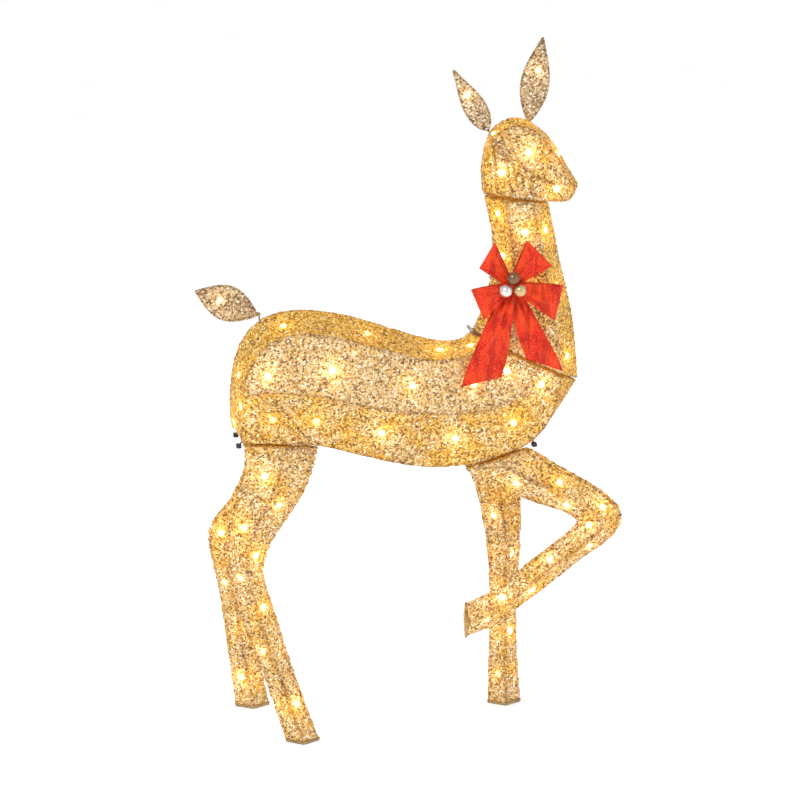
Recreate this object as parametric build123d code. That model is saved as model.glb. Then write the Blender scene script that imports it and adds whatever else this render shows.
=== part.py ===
"""Light up yard reindeer: a standing doe of welded wire frames under glitter thread covers.

Millimetres, +Z up, +X towards the head, median plane at Y = 0, right side at -Y.
The origin is on the ground below the middle of the whole figure, ear tips to hooves.
Every x below is counted from the middle of the torso, FIGURE_MIDDLE_X behind that origin.
The doe stands on both hind legs and the left front leg, and lifts its right front leg.
"""
from build123d import *
import os
from math import log, pi, sin

# Driving dimensions
FIGURE_MIDDLE_X = 20.5  # middle of the whole figure, ahead of the middle of the torso
COVER_WALL = 1.2        # thickness of the wound thread cover
LONG_WIRE_R = 2.0       # wires that run along a section
RIB_WIRE_R = 1.5        # wires of the ribs
LEAF_WIRE_R = 1.4       # wire loops of the ears and tail
WIRE_INSET = 4.9        # cover's outer face to a wire's centre line
SMOOTH_STEPS = 2        # cover facets between two ribs
SHARP_CORNER = 14       # degrees between two facets that a wire can't bend smoothly
LAMP_INSET = 9.4        # cover's outer face to a lamp's axis
MOST_INSET = 0.9        # most of the way to the middle of a ring that an inset may take
MOST_END_STEP = 0.8     # most of the way to the next ring that the end of a cover's inside may move
END_INSET = 1.3         # inset from the end of a section, as a share of the inset from its sides
END_RINGS = 5           # rings next to an end that are kept clear of it
# Facets that carry lamps, counted round the ring, in even and in odd rows, by the ring's corners.
LAMP_FACETS = {4: ((0, 2), (3, 1)), 6: ((1, 2, 3), (4, 5, 0)), 8: ((2, 0, 6), (5, 7, 1))}
HEAD_LAMP_SPANS = slice(1, 6, 2)    # spans between two ribs that carry a row of lamps
LEG_LAMP_SPANS = slice(1, None)
LAMP_R = 2.5            # 5 mm wide-angle lamp
LAMP_LENGTH = 5.0
HUSK_R = 3.1
HUSK_LENGTH = 9.0
CORD_R = 1.1
CORD_DEPTH = 6.0        # cord's depth below the end of a husk
PRONG_R = 2.5
PRONG_REACH = 52.0      # prong length above its own section's end
PRONG_ROOT = 16.0       # prong length inside its own section
SOCKET_CLEARANCE = 0.08  # radial
SOCKET_WALL = 1.5
SOCKET_START = 12.0     # socket's mouth above the prong's own section's end
TIE_RISE = 12.0         # socket's mouth to the rod that ties it to the frame
SOCKET_SPARE = 2.0      # socket's length beyond the prong's end
PRONG_HOLE_R = 6.0      # hole in a cover around a prong
HOLE_OVERSHOOT = 6      # how far a hole's cutter stands out of a cover
HOLE_DEPTH = 24         # how far a hole's cutter reaches into a cover
WIRE_PLAY = 0.9         # radial gap between a wire and the hole it passes through
PIN_R = 1.5             # hinge pins of the neck and the tail
PIN_CLEARANCE = 0.06
KNUCKLE_R = 3.0
KNUCKLE_BITE = 0.5      # how far a rod runs into the knuckle it is welded to
FOOT_PLATE_THICK = 2.0
STUD_R = 1.6
STUD_LENGTH = 14
STUD_X = (-14, 14)      # studs from the middle of the foot
BAUBLE_R = 12.5
BAUBLE_WALL = 1.0
BAUBLE_NECK_R = 2.2
BAUBLE_GAP = 4          # end of a bauble's neck to the centre wrap

# Torso ribs, rear to front, for the right-hand half mirrored to the left.
# Each row: spine (x, z), upper edge (x, y, z), side ridge, lower edge, belly (x, z).
TORSO_RIBS = [
    ((-322, 598), (-311, 66, 598), (-309, 70, 590), (-307, 62, 580), (-306, 576)),
    ((-325, 640), (-307, 68, 640), (-304, 74, 632), (-268, 62, 577), (-266, 573)),
    ((-322, 692), (-302, 70, 684), (-296, 80, 674), (-226, 62, 574), (-224, 570)),
    ((-306, 756), (-289, 71, 727), (-262, 90, 684), (-188, 62, 572), (-186, 567)),
    ((-262, 806), (-250, 72, 772), (-220, 97, 680), (-156, 62, 569), (-154, 563)),
    ((-192, 820), (-187, 72, 788), (-160, 98, 672), (-110, 62, 557), (-109, 550)),
    ((-110, 810), (-105, 72, 774), (-90, 98, 656), (-60, 62, 543), (-59, 536)),
    ((-30, 785), (-30, 70, 751), (-15, 98, 641), (5, 62, 528), (6, 521)),
    ((48, 760), (45, 68, 731), (60, 97, 633), (75, 62, 521), (76, 514)),
    ((98, 754), (98, 66, 733), (125, 94, 633), (142, 62, 528), (144, 521)),
    ((119, 758), (132, 64, 739), (178, 90, 643), (200, 61, 545), (205, 538)),
    ((128, 764), (150, 63, 744), (220, 84, 664), (248, 60, 568), (258, 558)),
    ((134, 769), (168, 62, 748), (240, 76, 692), (287, 58, 618), (309, 622)),
    ((138, 771), (183, 61, 748), (243, 68, 719), (302, 58, 690), (341, 671)),
]
TORSO_RIB_WIRES = (0, 2, 4, 6, 8, 10, 13)

# Neck ribs, bottom to top: nape (x, z), rear edge (x, y, z), front edge, throat (x, z).
NECK_RIBS = [
    ((139.5, 774), (184.5, 61, 751.5), (303.5, 58, 693.5), (342.5, 674.5)),
    ((154, 806), (190, 58, 786), (295, 56, 752), (338, 740)),
    ((168, 848), (200, 54, 838), (284, 53, 826), (327, 816)),
    ((177, 900), (208, 50, 896), (272, 50, 892), (309, 888)),
    ((176, 950), (206, 48, 948), (261, 47, 946), (297, 944)),
    ((168, 995), (199, 47, 994), (251, 44, 992), (288, 990)),
    ((160, 1031), (194, 46, 1027), (245, 42, 1021), (282, 1017)),
]
NECK_RIB_WIRES = (0, 2, 4, 6)

# Head ribs, back to front: crown (x, z), crown edge (x, y, z), side ridge, jaw edge, jaw (x, z).
HEAD_RIBS = [
    ((158, 1120), (159, 12, 1116), (155, 16, 1086), (159, 16, 1040), (159, 1036)),
    ((170, 1152), (172, 24, 1142), (176, 41, 1120), (182, 44, 1037), (180, 1034)),
    ((194, 1172), (196, 28, 1160), (204, 48, 1106), (208, 46, 1033), (207, 1031)),
    ((220, 1178), (222, 29, 1165), (228, 49, 1088), (235, 42, 1029), (235, 1027)),
    ((250, 1167), (251, 28, 1154), (253, 46, 1070), (262, 36, 1026), (262, 1024)),
    ((280, 1141), (279, 25, 1127), (278, 38, 1058), (287, 29, 1023), (287, 1021)),
    ((304, 1108), (302, 20, 1096), (300, 30, 1054), (308, 23, 1022), (308, 1020)),
    ((325, 1072), (322, 15, 1064), (320, 22, 1054), (322, 17, 1025), (322, 1023)),
    ((338, 1053), (336, 9, 1051), (335, 12, 1045), (331, 10, 1034), (331, 1032)),
]
HEAD_RIB_WIRES = (1, 3, 5, 8)

# Leg ribs, top to foot: rear (x, z), front (x, z), distance from the median plane, half thickness.
RIGHT_HIND_RIBS = [
    ((-304, 571), (-160, 562), 44, 20),
    ((-300, 535), (-170, 528), 51, 27),
    ((-311, 494), (-189, 480), 57, 30),
    ((-331, 447), (-224, 428), 64, 30),
    ((-339, 395), (-256, 382), 70, 28),
    ((-338, 350), (-270, 335), 75, 26),
    ((-329, 300), (-262, 295), 80, 25),
    ((-311, 229), (-242, 226), 88, 24),
    ((-276, 137), (-213, 128), 98, 23),
    ((-233, 2.6), (-169, 2.6), 108, 22),
]
LEFT_HIND_RIBS = [
    ((-304, 571), (-160, 562), 44, 20),
    ((-296, 535), (-172, 526), 51, 27),
    ((-298, 498), (-198, 480), 57, 30),
    ((-322, 442), (-242, 420), 64, 30),
    ((-357, 396), (-282, 374), 70, 28),
    ((-367, 354), (-300, 336), 75, 26),
    ((-359, 308), (-298, 298), 80, 25),
    ((-345, 234), (-284, 228), 88, 24),
    ((-330, 116), (-270, 112), 99, 23),
    ((-316, 2.6), (-249, 2.6), 108, 22),
]
LEFT_FRONT_RIBS = [
    ((119, 512), (240, 548), 46, 20),
    ((143, 480), (243, 496), 50, 26),
    ((160, 428), (245, 428), 53, 27),
    ((175, 355), (246, 352), 56, 26),
    ((184, 270), (243, 270), 59, 25),
    ((186, 190), (239, 190), 61, 24),
    ((185, 110), (242, 110), 63, 23),
    ((184, 2.6), (250, 2.6), 66, 22),
]
RIGHT_FRONT_RIBS = [
    ((119, 512), (240, 548), 46, 20),
    ((160, 482), (265, 537), 51, 26),
    ((210, 461), (307, 511), 57, 28),
    ((262, 442), (357, 484), 62, 28),
    ((305, 427), (400, 453), 65, 28),
    ((333, 410), (423, 418), 67, 28),
    ((318, 389), (408, 378), 67, 26),
    ((283, 362), (351, 336), 67, 25),
    ((232, 321), (290, 289), 66, 24),
    ((192, 286), (226, 240), 65, 23),
    ((165, 271), (180, 205), 65, 22),
    ((118, 251), (118, 182), 65, 20),
]

# Prongs that plug a section into its neighbour: x of the pair and distance from the median plane.
HIND_PRONG_X = (-268, -190)
FRONT_PRONG_X = (146, 212)
LEG_PRONG_Y = 46
HEAD_PRONG_X = (204, 238)
HEAD_BAR_RISE = 8       # bar that joins the head's prongs, above the roots of leg prongs
HEAD_BAR_OVERHANG = 12

# Leaves: base point, tip point, width, thickness, and where along the leaf it is widest.
RIGHT_EAR = ((160, -38, 1160), (94, -54, 1270), 40, 10, 0.35)
LEFT_EAR = ((248, 20, 1168), (276, 40, 1318), 50, 10, 0.45)
TAIL = ((-274, 0, 811), (-381, 0, 862), 64, 10, 0.48)
LEAF_END = 9            # width of a leaf at its ends
LEAF_LAMP_RING = 6      # ring of the leaf, from its base, at which its lamp starts
EAR_STEM = 54           # stem length below the ear's base
EAR_SOCKET = 16

# Bow on the right side of the neck.  Loops and tails run from the knot to a straight end,
# given as its two corners (x, z), the y of its inner face, and its depth.
KNOT = (200, -73, 874)
KNOT_SIZE = (20, 20, 24)
UPPER_LOOPS = [((168, 954), (140, 907), -66, 26), ((230, 956), (276, 910), -66, 26)]
LOWER_LOOPS = [((124, 866), (148, 810), -70, 26), ((298, 871), (283, 805), -70, 26)]
BOW_TAILS = [((180, 700), (106, 683), -90, 1.2), ((231, 731), (300, 706), -78, 1.2)]
TIE_WIRE_R = 0.7
TIE_STAND_OFF = 3.5     # tie wire outside the neck's cover
TIE_X = 3               # ends of the tie wire on both sides of the knot's middle
TIE_END_GAP = 0.1       # end of the tie wire to the centre wrap
TIE_END_DROP = 0.5      # how much lower an end of the tie wire is at the wrap
WRAP_FILLET = 3
KNOT_BACK = -66         # y of the ribbons' inner face at the knot
RIBBON_WALL = 1.2
RIBBON_START = 15       # knot's middle to where a ribbon starts
RIBBON_NARROW = 9       # width of a ribbon gathered at the knot
LOOP_ROOT = 12          # depth of a loop at the knot
BAUBLES = {"silver": (186, -104, 867), "gold": (213, -104, 867), "bronze": (200, -104, 891)}

NECK_PIVOT = (135.2, 774.3)     # x, z of the neck hinge pin, just behind the top of the seam
HINGE_PLATE_START = -1          # start of both hinge plates down the seam
HINGE_PLATE_LENGTH = 25
HINGE_PLATE_THICK = 0.8
TORSO_PLATE_OFFSET = 0.9        # middle of a plate from the torso's face
NECK_PLATE_OFFSET = 2.45
NECK_PLATE_Y = 26
REST_PAD = (180, 24, 6)         # neck rest pads: down the seam, from the median plane, radius
REST_PAD_SPAN = (0.2, 3.1)      # near and far face of a pad from the torso's face
TAIL_PIVOT = (-268, 814)        # x, z of the tail pin, just outside the cover
LUG_FOOT = (2.4, 0, -26.4)      # tail pin to the foot of the two lug rods that carry it
LUG_Y = 5                       # a lug rod from the median plane
TAIL_EYE_Y = (3.4, 6.6)         # start and end of a tail eye from the median plane
TAIL_KNUCKLE_Y = 2.6
NECK_EYE_Y = (11.5, 30)         # start and end of a torso hinge knuckle from the median plane
NECK_KNUCKLE_Y = 11
PIN_STANDS_OUT = 1
# Clips at the ends of the leg seams, right-hand side: clip centre and the tip of its stem.
LEG_CLIPS = [((-312, 44, 570), (-306, 44, 578)), ((253, 44, 556), (245, 44, 580))]
CLIP_SIZE = (10, 14, 8)
CLIP_FILLET = 2
LEAD_R = 2.2            # supply lead
LEAD_COIL = (-60, 0, 680)
LEAD_COIL_R = 28
LEAD_PITCH = 6
LEAD_TURNS = 5
PLUG_R = 8
PLUG_LENGTH = 40
PLUG_FILLET = 2


def smooth(points, steps=SMOOTH_STEPS):
    """Points of a Catmull-Rom curve through the given points, with equal steps per span."""
    padded = [points[0] * 2 - points[1], *points, points[-1] * 2 - points[-2]]
    curve = []
    for a, b, c, d in zip(padded, padded[1:], padded[2:], padded[3:]):
        for step in range(steps):
            t = step / steps
            bend = (a * 2 - b * 5 + c * 4 - d) * t**2 + (b * 3 - a - c * 3 + d) * t**3
            curve.append(b + ((c - a) * t + bend) * 0.5)
    return curve + [points[-1]]


def centre(ring):
    return sum(ring, Vector()) / len(ring)


def edge_distance(point, a, b):
    """Distance of a point from the line through a and b."""
    return (point - a).cross(b - a).length / (b - a).length


def keep_clear(rings, end, goal, depth):
    """Pull the points of the rings that are nearer than depth to an end ring towards a goal inside."""
    middle = centre(end)
    half, side = len(end) // 2, len(end) // 4
    inward = (end[half] - end[0]).cross(end[side + half] - end[side]).normalized()
    if inward.dot(goal - middle) < 0:
        inward = -inward
    for ring in rings:
        for i, point in enumerate(ring):
            short = depth - (point - middle).dot(inward)
            if short > 0:
                way = goal - point
                ring[i] = point + way * (short / way.dot(inward))


def inset_sides(rings, depth):
    """The same rings, with every side moved inwards by at least the depth."""
    shrunk = []
    for ring in rings:
        middle = centre(ring)
        inradius = min(edge_distance(middle, a, b) for a, b in zip(ring, ring[1:] + ring[:1]))
        share = min(MOST_INSET, depth / inradius)
        shrunk.append([p + (middle - p) * share for p in ring])
    return shrunk


def hollow(rings):
    """The inside of a cover around the rings."""
    shrunk = inset_sides(rings, COVER_WALL)
    for end, inner in ((0, 1), (-1, -2)):
        travel = centre(shrunk[inner]) - centre(shrunk[end])
        step = min(MOST_END_STEP, COVER_WALL * END_INSET / travel.length)
        shrunk[end] = [p + (q - p) * step for p, q in zip(shrunk[end], shrunk[inner])]
    return shrunk


def inset(rings, depth):
    """The same rings, moved inwards by at least the depth, sides and ends alike."""
    shrunk = inset_sides(rings, depth)
    keep_clear(shrunk[:END_RINGS], rings[0], centre(rings[END_RINGS]), depth * END_INSET)
    keep_clear(shrunk[-END_RINGS:], rings[-1], centre(rings[-1 - END_RINGS]), depth * END_INSET)
    return shrunk


def facet(a, b, c):
    return Face(Wire.make_polygon([a, b, c]))


def faceted_solid(rings):
    """A closed solid of flat facets through successive rings of points."""
    faces = []
    for low, high in zip(rings, rings[1:]):
        for i in range(len(low)):
            j = (i + 1) % len(low)
            faces.append(facet(low[i], low[j], high[j]))
            faces.append(facet(low[i], high[j], high[i]))
    for ring in (rings[0], rings[-1]):
        faces += [facet(centre(ring), a, b) for a, b in zip(ring, ring[1:] + ring[:1])]
    return Solid(Shell(faces))


def rod(start, end, radius):
    """A round bar between two points."""
    start, end = Vector(*start), Vector(*end)
    return Solid.make_cylinder(radius, (end - start).length, Plane(start, z_dir=end - start))


def turns_sharply(points):
    """Whether the path through the points turns by more than SHARP_CORNER at any of them."""
    turns = [(b - a).get_angle(c - b) for a, b, c in zip(points, points[1:], points[2:])]
    return max(turns) > SHARP_CORNER


def bent_wire(points, radius):
    """A wire bent smoothly through the points, or straight pieces where it turns sharply."""
    if turns_sharply(points):
        return [rod(a, b, radius) for a, b in zip(points, points[1:])]
    path = Spline(*points)
    return [sweep(Plane(path @ 0, z_dir=path % 0) * Circle(radius), path=path)]


def mirrored_rings(ribs):
    """Closed rings from half ribs: top median point, right-hand points down, bottom median point."""
    rings = []
    for rib in ribs:
        right = [Vector(x, -y, z) for x, y, z in rib[1:-1]]
        left = [Vector(p.X, -p.Y, p.Z) for p in reversed(right)]
        top = Vector(rib[0][0], 0, rib[0][1])
        bottom = Vector(rib[-1][0], 0, rib[-1][1])
        rings.append([top, *right, bottom, *left])
    return rings


def leg_rings(ribs, side):
    """Four-cornered rings of a leg: rear, outer, front, inner.  side is -1 right, +1 left."""
    rings = []
    for (rear_x, rear_z), (front_x, front_z), y, half in ribs:
        mid_x, mid_z = (rear_x + front_x) / 2, (rear_z + front_z) / 2
        rings.append([
            Vector(rear_x, side * y, rear_z),
            Vector(mid_x, side * (y + half), mid_z),
            Vector(front_x, side * y, front_z),
            Vector(mid_x, side * (y - half), mid_z),
        ])
    return rings


def smooth_rings(rings):
    """Rings with smooth rails, in SMOOTH_STEPS steps per rib."""
    rails = [smooth(list(rail)) for rail in zip(*rings)]
    return [list(ring) for ring in zip(*rails)]


def cover(rings, holes=()):
    """A thin thread cover around a section, with holes for what passes through it."""
    fine = smooth_rings(rings)
    shell = faceted_solid(fine) - faceted_solid(hollow(fine))
    for hole in holes:
        shell = shell - hole
    return shell


def wire_frame(rings, rib_indexes):
    """Long wires along every rail, from the first rib wire on, and polygon ribs across them."""
    fine = inset(smooth_rings(rings), WIRE_INSET)
    rails = zip(*fine[rib_indexes[0] * SMOOTH_STEPS:])
    wires = [piece for rail in rails for piece in bent_wire(rail, LONG_WIRE_R)]
    for index in rib_indexes:
        ring = fine[index * SMOOTH_STEPS]
        wires += [rod(a, b, RIB_WIRE_R) for a, b in zip(ring, ring[1:] + ring[:1])]
    return wires


def lamp_spots(rings, spans):
    """Place, direction and way inwards of every lamp, half-way along a span, on the row's facets.

    spans is a slice that picks the spans between two ribs that carry a row of lamps.
    """
    inner = inset(rings, LAMP_INSET)
    spots = []
    for row, k in enumerate(range(len(inner) - 1)[spans]):
        low, high = inner[k], inner[k + 1]
        for i in LAMP_FACETS[len(low)][row % 2]:
            j = (i + 1) % len(low)
            start = (low[i] + low[j]) * 0.5
            end = (high[i] + high[j]) * 0.5
            spot = (start + end) * 0.5
            inwards = (centre(low + high) - spot).normalized()
            spots.append((spot, (start - end).normalized(), inwards))
    return spots


def lamps(spots):
    """Clear lenses: a short cylinder with a domed end, ahead of each husk."""
    lenses = []
    for spot, ahead, _ in spots:
        barrel = Solid.make_cylinder(LAMP_R, LAMP_LENGTH, Plane(spot, z_dir=ahead))
        dome = Solid.make_sphere(LAMP_R, Plane(spot + ahead * LAMP_LENGTH, z_dir=ahead), angle1=0)
        lenses.append(barrel.fuse(dome))
    return lenses


def light_string(spots):
    """Husks behind the lenses, and the cord from husk to husk on the inner side of the lamps."""
    tails = [spot - ahead * HUSK_LENGTH for spot, ahead, _ in spots]
    bends = [tail + inwards * CORD_DEPTH for tail, (_, _, inwards) in zip(tails, spots)]
    husks = [rod(tail, spot[0], HUSK_R) for tail, spot in zip(tails, spots)]
    drops = [rod(tail, bend, CORD_R) for tail, bend in zip(tails, bends)]
    return husks + drops + [rod(a, b, CORD_R) for a, b in zip(bends, bends[1:])]


def tube(start, end, bore_r, wall):
    """A round tube between two points."""
    return rod(start, end, bore_r + wall) - rod(start, end, bore_r)


def cross_tube(x, z, y_start, y_end):
    """A hinge knuckle: a tube along Y that turns on a pin."""
    bore_r = PIN_R + PIN_CLEARANCE
    return tube((x, y_start, z), (x, y_end, z), bore_r, KNUCKLE_R - bore_r)


def save(node, *solids):
    """Write one node as a group of separate solids, in the figure's own frame."""
    placed = [Pos(-FIGURE_MIDDLE_X, 0, 0) * solid for solid in solids]
    group = placed[0] if len(placed) == 1 else Compound(children=placed)
    export_step(group, f"parts/{node}.step")


def save_lights(section, rings, spans=slice(None)):
    spots = lamp_spots(rings, spans)
    save(f"{section}_light_string", *light_string(spots))
    save(f"{section}_lamps", *lamps(spots))


def prong(x, y, seam_z):
    """A leg's prong, upright through the seam."""
    return rod((x, y, seam_z - PRONG_ROOT), (x, y, seam_z + PRONG_REACH), PRONG_R)


def socket(x, y, seam_z):
    start = (x, y, seam_z + SOCKET_START)
    end = (x, y, seam_z + PRONG_REACH + SOCKET_SPARE)
    return tube(start, end, PRONG_R + SOCKET_CLEARANCE, SOCKET_WALL)


def tie_rod(rail, place):
    """A rod from the nearest point of a rail to the outside of an upright socket."""
    foot = nearest(rail, place)
    aside = Vector(foot.X - place.X, foot.Y - place.Y, 0).normalized()
    return rod(foot, place + aside * (PRONG_R + SOCKET_CLEARANCE + SOCKET_WALL), RIB_WIRE_R)


def seam_height(ribs, x):
    """Height of a leg's slanted top at x."""
    (rear_x, rear_z), (front_x, front_z), _, _ = ribs[0]
    return rear_z + (front_z - rear_z) * (x - rear_x) / (front_x - rear_x)


def nearest(rail, point):
    return min(rail, key=lambda p: (p - point).length)


def make_torso():
    rings = mirrored_rings(TORSO_RIBS)
    legs = [(RIGHT_HIND_RIBS, x, side) for x in HIND_PRONG_X for side in (-1, 1)]
    legs += [(RIGHT_FRONT_RIBS, x, side) for x in FRONT_PRONG_X for side in (-1, 1)]
    prongs = [(x, side * LEG_PRONG_Y, seam_height(ribs, x)) for ribs, x, side in legs]
    holes = [rod((x, y, z), (x, y, z + HOLE_DEPTH), PRONG_HOLE_R) for x, y, z in prongs]
    tail_pivot = Vector(TAIL_PIVOT[0], 0, TAIL_PIVOT[1])
    lug_foot = tail_pivot + Vector(*LUG_FOOT)
    lug_end = tail_pivot + (lug_foot - tail_pivot).normalized() * (KNUCKLE_R - KNUCKLE_BITE)
    lug_lines = [(lug_foot + aside, lug_end + aside) for aside in (Vector(0, -LUG_Y), Vector(0, LUG_Y))]
    holes += [rod(foot, end, RIB_WIRE_R + WIRE_PLAY) for foot, end in lug_lines]
    for clip_centre, stem_tip in clip_places():
        holes.append(rod(clip_centre, stem_tip, RIB_WIRE_R + WIRE_PLAY))
    save("torso_cover", cover(rings, holes))

    wires = wire_frame(rings, TORSO_RIB_WIRES)
    fine = inset(smooth_rings(rings), WIRE_INSET)
    for x, y, z in prongs:
        rail = [ring[3 if y < 0 else 5] for ring in fine]
        wires += [socket(x, y, z), tie_rod(rail, Vector(x, y, z + SOCKET_START + TIE_RISE))]
    save("torso_frame", *wires)
    half_bar = Vector(0, LUG_Y + RIB_WIRE_R)
    bracket = [rod(foot, end, RIB_WIRE_R) for foot, end in lug_lines]
    bracket.append(rod(lug_foot - half_bar, lug_foot + half_bar, RIB_WIRE_R))
    bracket += [cross_tube(*TAIL_PIVOT, side * TAIL_EYE_Y[0], side * TAIL_EYE_Y[1]) for side in (-1, 1)]
    save("tail_bracket", *bracket)
    half_pin = Vector(0, TAIL_EYE_Y[1] + PIN_STANDS_OUT)
    save("tail_pin", rod(tail_pivot - half_pin, tail_pivot + half_pin, PIN_R))
    save_lights("torso", rings)


def seam_plane():
    """The torso's slanted front face: x down the seam, z out towards the neck."""
    (top_x, top_z), (low_x, low_z) = TORSO_RIBS[-1][0], TORSO_RIBS[-1][-1]
    down = Vector(low_x - top_x, 0, low_z - top_z).normalized()
    return Plane((top_x, 0, top_z), x_dir=down, z_dir=Vector(-down.Z, 0, down.X))


def hinge_plate(offset, y_half):
    """A thin plate in the gap of the neck seam, offset from the torso's face."""
    middle = HINGE_PLATE_START + HINGE_PLATE_LENGTH / 2
    return seam_plane() * Pos(middle, 0, offset) * Box(HINGE_PLATE_LENGTH, 2 * y_half, HINGE_PLATE_THICK)


def make_neck_hinge():
    x, z = NECK_PIVOT
    eye_start, eye_end = NECK_EYE_Y
    eyes = [cross_tube(x, z, side * eye_start, side * eye_end) for side in (-1, 1)]
    save("torso_hinge_leaf", hinge_plate(TORSO_PLATE_OFFSET, eye_end), *eyes)
    knuckle = cross_tube(x, z, -NECK_KNUCKLE_Y, NECK_KNUCKLE_Y)
    save("neck_hinge_leaf", hinge_plate(NECK_PLATE_OFFSET, NECK_PLATE_Y), knuckle)
    half_pin = eye_end + PIN_STANDS_OUT
    save("neck_hinge_pin", rod((x, -half_pin, z), (x, half_pin, z), PIN_R))


def make_neck():
    rings = mirrored_rings(NECK_RIBS)
    top_z = NECK_RIBS[-1][0][1]
    low_z = top_z - PRONG_REACH - SOCKET_SPARE
    hole_ends = (top_z - HOLE_DEPTH, top_z + HOLE_OVERSHOOT)
    holes = [rod((x, 0, hole_ends[0]), (x, 0, hole_ends[1]), PRONG_HOLE_R) for x in HEAD_PRONG_X]
    save("neck_cover", cover(rings, holes))
    wires = wire_frame(rings, NECK_RIB_WIRES)
    fine = inset(smooth_rings(rings), WIRE_INSET)
    for x, rail_index in zip(HEAD_PRONG_X, (0, 3)):
        mouth = (x, 0, top_z - SOCKET_START)
        wires.append(tube((x, 0, low_z), mouth, PRONG_R + SOCKET_CLEARANCE, SOCKET_WALL))
        rail = [ring[rail_index] for ring in fine]
        wires.append(tie_rod(rail, Vector(x, 0, top_z - SOCKET_START - TIE_RISE)))
    save("neck_frame", *wires)
    save_lights("neck", rings)


def ear_axis(ear):
    base, tip = Vector(*ear[0]), Vector(*ear[1])
    return base, (tip - base).normalized()


def make_head():
    rings = mirrored_rings(HEAD_RIBS)
    seam_z = HEAD_RIBS[2][-1][1]
    hole_ends = (seam_z - HOLE_OVERSHOOT, seam_z + HOLE_OVERSHOOT)
    holes = [rod((x, 0, hole_ends[0]), (x, 0, hole_ends[1]), PRONG_HOLE_R) for x in HEAD_PRONG_X]
    sockets = []
    for ear in (RIGHT_EAR, LEFT_EAR):
        base, up = ear_axis(ear)
        foot = base - up * EAR_STEM
        holes.append(rod(foot, base, LEAF_WIRE_R + 2 * WIRE_PLAY))
        bore_r = LEAF_WIRE_R + PIN_CLEARANCE
        sockets.append(tube(foot - up, foot + up * EAR_SOCKET, bore_r, SOCKET_WALL))
    save("head_cover", cover(rings, holes))
    wires = wire_frame(rings, HEAD_RIB_WIRES)
    bar_z = seam_z + PRONG_ROOT + HEAD_BAR_RISE
    prong_low = NECK_RIBS[-1][0][1] - PRONG_REACH
    wires += [rod((x, 0, prong_low), (x, 0, bar_z), PRONG_R) for x in HEAD_PRONG_X]
    bar_start, bar_end = HEAD_PRONG_X[0] - HEAD_BAR_OVERHANG, HEAD_PRONG_X[1] + HEAD_BAR_OVERHANG
    wires.append(rod((bar_start, 0, bar_z), (bar_end, 0, bar_z), LONG_WIRE_R))
    save("head_frame", *wires)
    save("ear_sockets", *sockets)
    save_lights("head", rings, HEAD_LAMP_SPANS)


def make_leg(name, ribs, side, prong_x):
    rings = leg_rings(ribs, side)
    y = side * LEG_PRONG_Y
    tops = [(x, y, seam_height(ribs, x)) for x in prong_x]
    hole_ends = [((x, y, z - PRONG_ROOT), (x, y, z + HOLE_OVERSHOOT)) for x, y, z in tops]
    holes = [rod(low, high, PRONG_R + WIRE_PLAY) for low, high in hole_ends]
    foot = centre(rings[-1])
    stands = foot.Z < 10
    stud_feet = [Vector(foot.X + dx, foot.Y, FOOT_PLATE_THICK) for dx in STUD_X]
    if stands:
        holes += [rod(p, p + Vector(0, 0, STUD_LENGTH), STUD_R + WIRE_PLAY) for p in stud_feet]
    save(f"{name}_cover", cover(rings, holes))
    bar_low = inset(rings, WIRE_INSET)[0]
    wires = wire_frame(rings, range(0, len(ribs), 2))
    wires.append(rod(bar_low[0], bar_low[2], LONG_WIRE_R))
    wires += [prong(*top) for top in tops]
    if stands:
        bar = inset(smooth_rings(rings), WIRE_INSET)[-1]
        wires.append(rod(bar[0], bar[2], LONG_WIRE_R))
        wires += [rod(p, p + Vector(0, 0, STUD_LENGTH), STUD_R) for p in stud_feet]
        outline = [Vector(p.X, p.Y, 0) for p in rings[-1]]
        plate = extrude(Face(Wire.make_polygon(outline)), FOOT_PLATE_THICK, dir=(0, 0, 1))
        save(f"{name}_foot_plate", plate)
    save(f"{name}_frame", *wires)
    save_lights(name, rings, LEG_LAMP_SPANS)


def leaf_rings(base, tip, width, thickness, widest, steps=10):
    """Rectangular rings of a leaf whose flat faces look along Y, widest part way along."""
    base, tip = Vector(*base), Vector(*tip)
    along = (tip - base).normalized()
    across = along.cross(Vector(0, 1, 0)).normalized()
    out = across.cross(along) * (thickness / 2)
    skew = log(0.5) / log(widest)
    rings = []
    for k in range(steps + 1):
        t = k / steps
        half = max(LEAF_END, width * sin(pi * t**skew)) / 2
        middle = base + (tip - base) * t
        edge = across * half
        rings.append([middle + edge + out, middle - edge + out, middle - edge - out, middle + edge - out])
    return rings


def make_leaf(name, leaf, stem_foot, extra=()):
    """An ear or the tail: cover, wire loop with its stem, and one lamp on the loop's mid wire."""
    base, tip = Vector(*leaf[0]), Vector(*leaf[1])
    rings = leaf_rings(*leaf)
    shell = faceted_solid(rings) - faceted_solid(hollow(rings))
    save(f"{name}_cover", shell - rod(stem_foot, centre(rings[2]), LEAF_WIRE_R + WIRE_PLAY))
    core = inset(rings, COVER_WALL + LEAF_WIRE_R + WIRE_PLAY)
    outline = [(ring[0] + ring[3]) * 0.5 for ring in core]
    outline += [(ring[1] + ring[2]) * 0.5 for ring in reversed(core)]
    loop = [rod(a, b, LEAF_WIRE_R) for a, b in zip(outline, outline[1:] + outline[:1])]
    save(f"{name}_frame", *loop, rod(stem_foot, centre(rings[2]), LEAF_WIRE_R), *extra)
    lamp, ahead = centre(rings[LEAF_LAMP_RING]), (tip - base).normalized()
    save(f"{name}_lamp", rod(lamp - ahead * HUSK_LENGTH, lamp, HUSK_R), *lamps([(lamp, ahead, None)]))


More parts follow.
